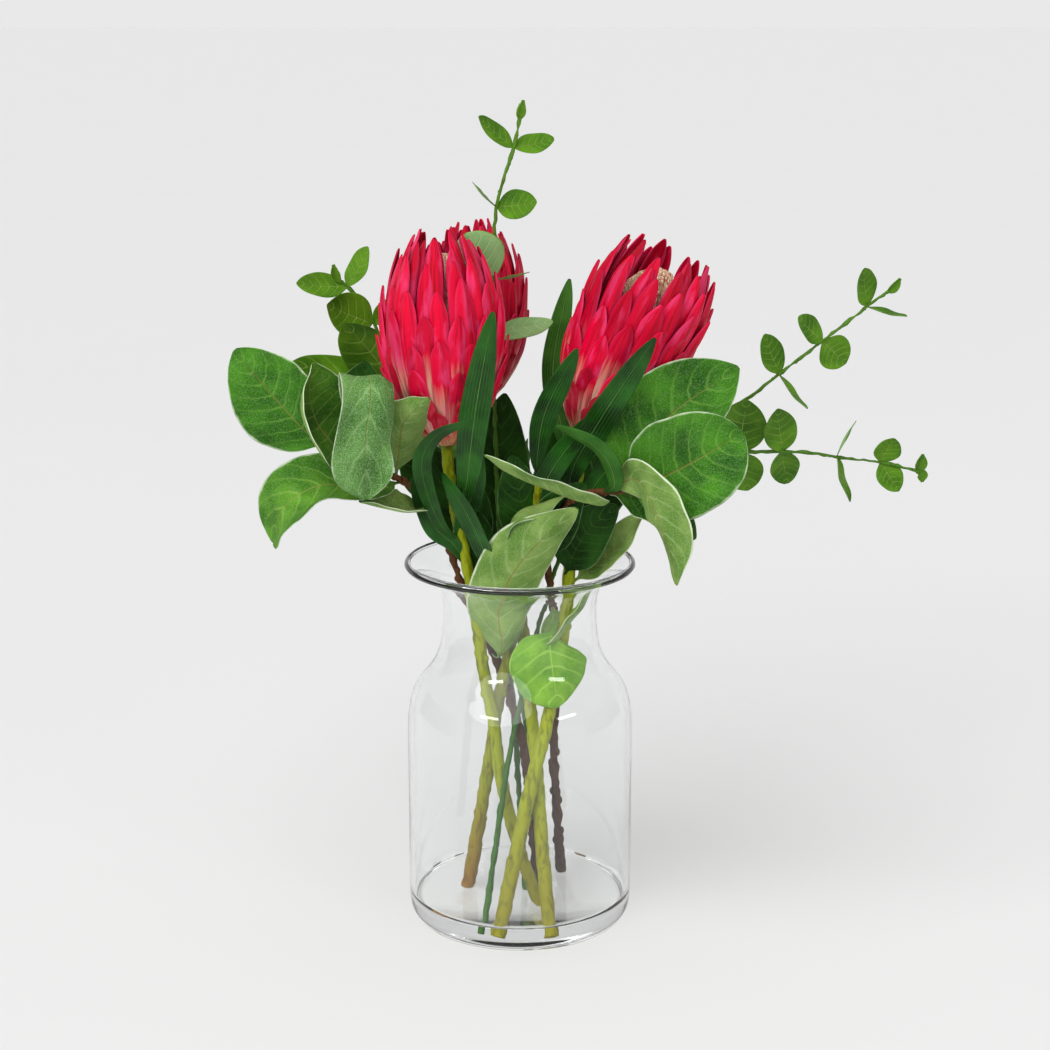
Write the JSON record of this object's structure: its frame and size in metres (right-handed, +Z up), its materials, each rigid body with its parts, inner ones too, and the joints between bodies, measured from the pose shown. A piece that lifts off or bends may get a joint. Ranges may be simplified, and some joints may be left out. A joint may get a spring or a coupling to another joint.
{
  "type": "protea flower arrangement in glass vase",
  "caption": "Protea blooms with felted, strap-shaped and eucalyptus leaves, standing in a clear set layer inside a round glass vase with a flared lip.",
  "frame": {"origin": "centre of the vase's flat foot, where it stands", "axes": "+Z up along the vase's axis, +X to the arrangement's right seen from the front, and -Y towards the viewer in front"},
  "size_m": [0.3643, 0.1494, 0.4395],
  "materials": {
    "clear_glass": "clear polished blown glass",
    "clear_resin": "clear cast layer, glossy",
    "protea_stem": "yellow-green stem with leaf scars, satin",
    "sprig_stem": "thin green-brown stem, satin",
    "bark": "rough dark bark",
    "felted_leaf": "grey-green felted leaf with a pale woolly margin",
    "strap_leaf": "dark green leaf with a pale midrib, satin",
    "eucalyptus_leaf": "green leaf with fine pale veins, matte",
    "bract": "crimson-pink bract, paler at base and tip, soft satin",
    "flower_core": "cream woolly flower centre"
  },
  "bodies": {
    "root": {"back_bloom_core": "flower_core", "back_bloom_inner_bracts": "bract", "back_bloom_outer_bracts": "bract", "clear_set_layer": "clear_resin", "glass_vase": "clear_glass", "left_bloom_core": "flower_core", "left_bloom_inner_bracts": "bract", "left_bloom_middle_bracts": "bract", "left_bloom_outer_bracts": "bract", "left_branch_cupped_leaf": "felted_leaf", "left_branch_curled_leaf": "felted_leaf", "left_branch_end_leaf": "felted_leaf", "left_branch_hanging_leaf": "felted_leaf", "left_branch_low_leaf": "felted_leaf", "left_branch_rear_leaf": "felted_leaf", "left_branch_small_leaf": "felted_leaf", "left_branch_stem": "bark", "left_pair_1": "eucalyptus_leaf", "left_pair_2": "eucalyptus_leaf", "left_pair_3": "eucalyptus_leaf", "lower_right_pair_1": "eucalyptus_leaf", "lower_right_pair_2": "eucalyptus_leaf", "lower_right_pair_3": "eucalyptus_leaf", "lower_right_pair_4": "eucalyptus_leaf", "neck_broad_leaf": "felted_leaf", "neck_hanging_leaf": "felted_leaf", "protea_back_stem": "protea_stem", "protea_left_stem": "protea_stem", "protea_right_stem": "protea_stem", "protea_shoot_stem": "protea_stem", "right_bloom_core": "flower_core", "right_bloom_inner_bracts": "bract", "right_bloom_middle_bracts": "bract", "right_bloom_outer_bracts": "bract", "right_branch_hanging_leaf": "felted_leaf", "right_branch_long_leaf": "felted_leaf", "right_branch_rear_leaf": "felted_leaf", "right_branch_round_leaf": "felted_leaf", "right_branch_stem": "bark", "rim_leaf": "felted_leaf", "shadow_leaf": "felted_leaf", "sprig_left_stem": "sprig_stem", "sprig_lower_right_stem": "sprig_stem", "sprig_top_stem": "sprig_stem", "sprig_upper_right_stem": "sprig_stem", "strap_leaf_arched": "strap_leaf", "strap_leaf_centre": "strap_leaf", "strap_leaf_curved": "strap_leaf", "strap_leaf_inner": "strap_leaf", "strap_leaf_left": "strap_leaf", "strap_leaf_rear": "strap_leaf", "strap_leaf_right": "strap_leaf", "top_pair_1": "eucalyptus_leaf", "top_pair_2": "eucalyptus_leaf", "top_pair_3": "eucalyptus_leaf", "top_pair_4": "eucalyptus_leaf", "upper_right_pair_1": "eucalyptus_leaf", "upper_right_pair_2": "eucalyptus_leaf", "upper_right_pair_3": "eucalyptus_leaf"}
  },
  "joints": []
}
